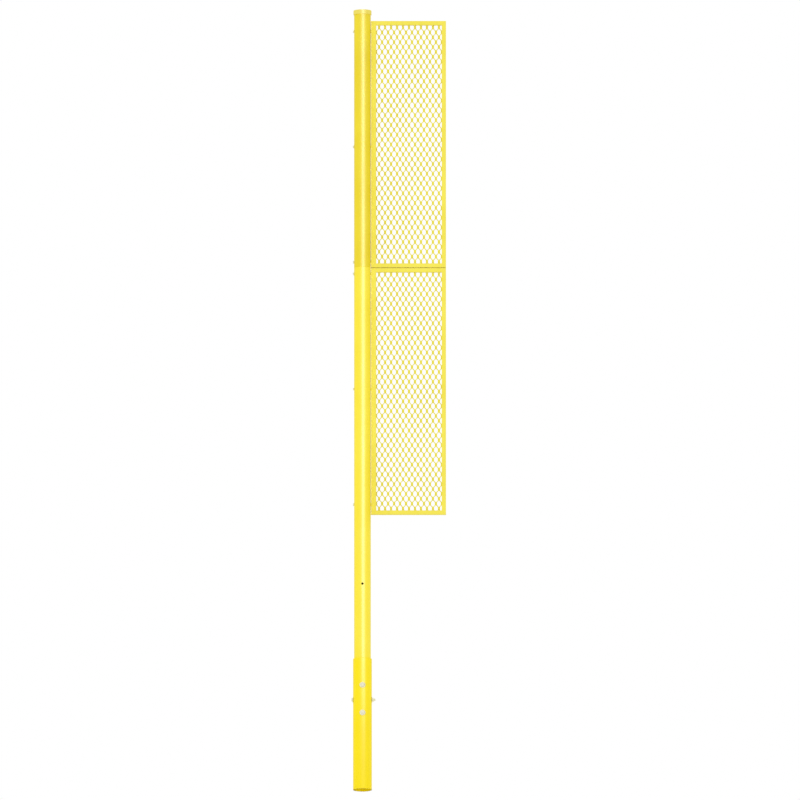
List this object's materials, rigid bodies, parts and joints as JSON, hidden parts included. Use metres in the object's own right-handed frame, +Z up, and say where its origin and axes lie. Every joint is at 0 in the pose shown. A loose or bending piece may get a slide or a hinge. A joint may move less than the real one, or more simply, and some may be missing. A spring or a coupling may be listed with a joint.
{
  "type": "baseball foul pole",
  "caption": "Round steel foul pole in a ground sleeve, with a screened wing of framed expanded metal panels bolted along one side.",
  "frame": {"origin": "on the pole's axis, at the ground sleeve's bottom end", "axes": "+Z up the pole, +X towards the wing, -Y towards the viewer's side of the wing"},
  "size_m": [0.5774, 0.1478, 4.8274],
  "materials": {
    "pole_paint": "yellow powder coat, gloss, on steel tube",
    "sleeve_paint": "yellow powder coat, gloss, on steel pipe",
    "cap_paint": "yellow powder coat, gloss, on a pressed steel cap",
    "wing_paint": "yellow powder coat, gloss, on square steel tube",
    "screen_paint": "yellow powder coat on expanded steel",
    "zinc": "bright zinc plate on steel fasteners",
    "bare_steel": "mill finish, inside the pole"
  },
  "bodies": {
    "root": {"ground_sleeve": "sleeve_paint", "lower_pole": "pole_paint", "upper_pole": "pole_paint", "splice_tube": "bare_steel", "pole_cap": "cap_paint", "upper_inner_stile": "wing_paint", "upper_outer_stile": "wing_paint", "upper_top_rail": "wing_paint", "upper_bottom_rail": "wing_paint", "upper_screen": "screen_paint", "upper_wing_bolt_top": "zinc", "upper_wing_washer_top": "zinc", "upper_wing_insert_top": "zinc", "upper_wing_bolt_middle": "zinc", "upper_wing_washer_middle": "zinc", "upper_wing_insert_middle": "zinc", "upper_wing_bolt_bottom": "zinc", "upper_wing_washer_bottom": "zinc", "upper_wing_insert_bottom": "zinc", "lower_inner_stile": "wing_paint", "lower_outer_stile": "wing_paint", "lower_top_rail": "wing_paint", "lower_bottom_rail": "wing_paint", "lower_screen": "screen_paint", "lower_wing_bolt_top": "zinc", "lower_wing_washer_top": "zinc", "lower_wing_insert_top": "zinc", "lower_wing_bolt_middle": "zinc", "lower_wing_washer_middle": "zinc", "lower_wing_insert_middle": "zinc", "lower_wing_bolt_bottom": "zinc", "lower_wing_washer_bottom": "zinc", "lower_wing_insert_bottom": "zinc", "sleeve_bolt_upper": "zinc", "sleeve_head_washer_upper": "zinc", "sleeve_nut_washer_upper": "zinc", "sleeve_nut_upper": "zinc", "sleeve_bolt_middle": "zinc", "sleeve_head_washer_middle": "zinc", "sleeve_nut_washer_middle": "zinc", "sleeve_nut_middle": "zinc", "sleeve_bolt_lower": "zinc", "sleeve_head_washer_lower": "zinc", "sleeve_nut_washer_lower": "zinc", "sleeve_nut_lower": "zinc"}
  },
  "joints": []
}
